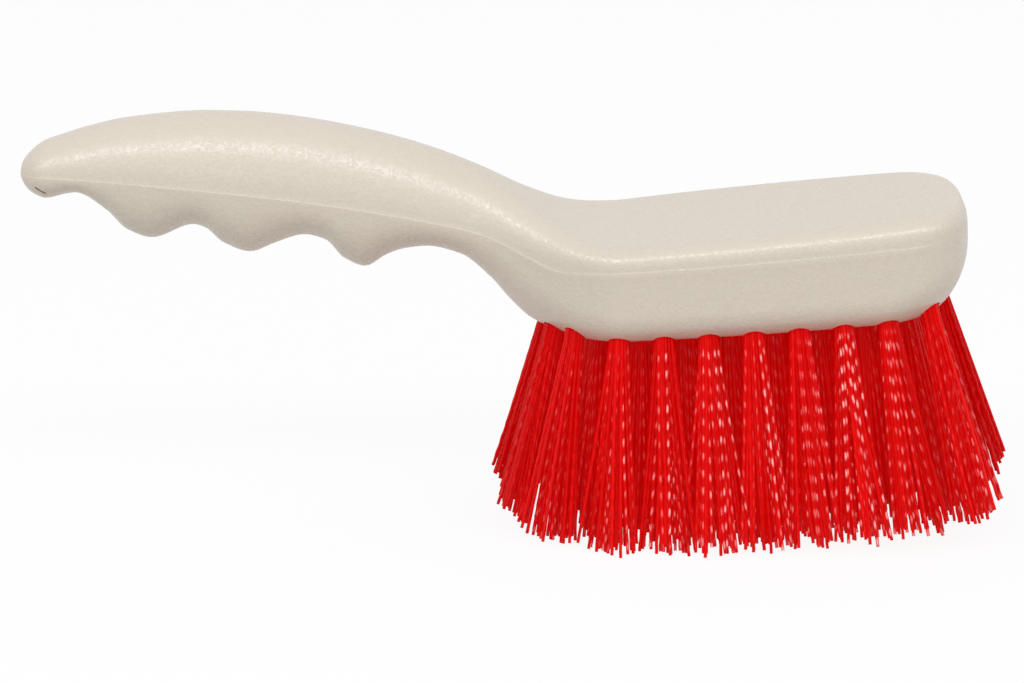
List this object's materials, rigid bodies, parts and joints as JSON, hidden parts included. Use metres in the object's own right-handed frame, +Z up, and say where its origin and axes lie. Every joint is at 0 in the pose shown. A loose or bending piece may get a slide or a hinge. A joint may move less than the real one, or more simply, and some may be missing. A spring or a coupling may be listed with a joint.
{
  "type": "tire brush",
  "caption": "Hand brush for scrubbing tyres: a moulded block and arched handle with finger ridges, and stiff crimped bristle tufts anchored in the block's underside.",
  "frame": {"origin": "centre of the bounding box on the ground, under the bristle tips", "axes": "+X from the handle's butt to the block's toe, +Y to the brush's left side, +Z up, with the brush standing on its bristles"},
  "size_m": [0.2248, 0.065, 0.0955],
  "materials": {
    "handle_plastic": "satin",
    "bristle_filament": "satin",
    "anchor_wire": "satin"
  },
  "bodies": {
    "root": {"handle_block": "handle_plastic", "bristles_right": "bristle_filament", "bristles_middle": "bristle_filament", "bristles_left": "bristle_filament", "anchor_1_1": "anchor_wire", "anchor_1_2": "anchor_wire", "anchor_1_3": "anchor_wire", "anchor_1_4": "anchor_wire", "anchor_1_5": "anchor_wire", "anchor_1_6": "anchor_wire", "anchor_1_7": "anchor_wire", "anchor_1_8": "anchor_wire", "anchor_1_9": "anchor_wire", "anchor_2_1": "anchor_wire", "anchor_2_2": "anchor_wire", "anchor_2_3": "anchor_wire", "anchor_2_4": "anchor_wire", "anchor_2_5": "anchor_wire", "anchor_2_6": "anchor_wire", "anchor_2_7": "anchor_wire", "anchor_2_8": "anchor_wire", "anchor_2_9": "anchor_wire", "anchor_3_1": "anchor_wire", "anchor_3_2": "anchor_wire", "anchor_3_3": "anchor_wire", "anchor_3_4": "anchor_wire", "anchor_3_5": "anchor_wire", "anchor_3_6": "anchor_wire", "anchor_3_7": "anchor_wire", "anchor_3_8": "anchor_wire", "anchor_3_9": "anchor_wire", "anchor_3_10": "anchor_wire", "anchor_4_1": "anchor_wire", "anchor_4_2": "anchor_wire", "anchor_4_3": "anchor_wire", "anchor_4_4": "anchor_wire", "anchor_4_5": "anchor_wire", "anchor_4_6": "anchor_wire", "anchor_4_7": "anchor_wire", "anchor_4_8": "anchor_wire", "anchor_4_9": "anchor_wire", "anchor_5_1": "anchor_wire", "anchor_5_2": "anchor_wire", "anchor_5_3": "anchor_wire", "anchor_5_4": "anchor_wire", "anchor_5_5": "anchor_wire", "anchor_5_6": "anchor_wire", "anchor_5_7": "anchor_wire", "anchor_5_8": "anchor_wire", "anchor_5_9": "anchor_wire"}
  },
  "joints": []
}
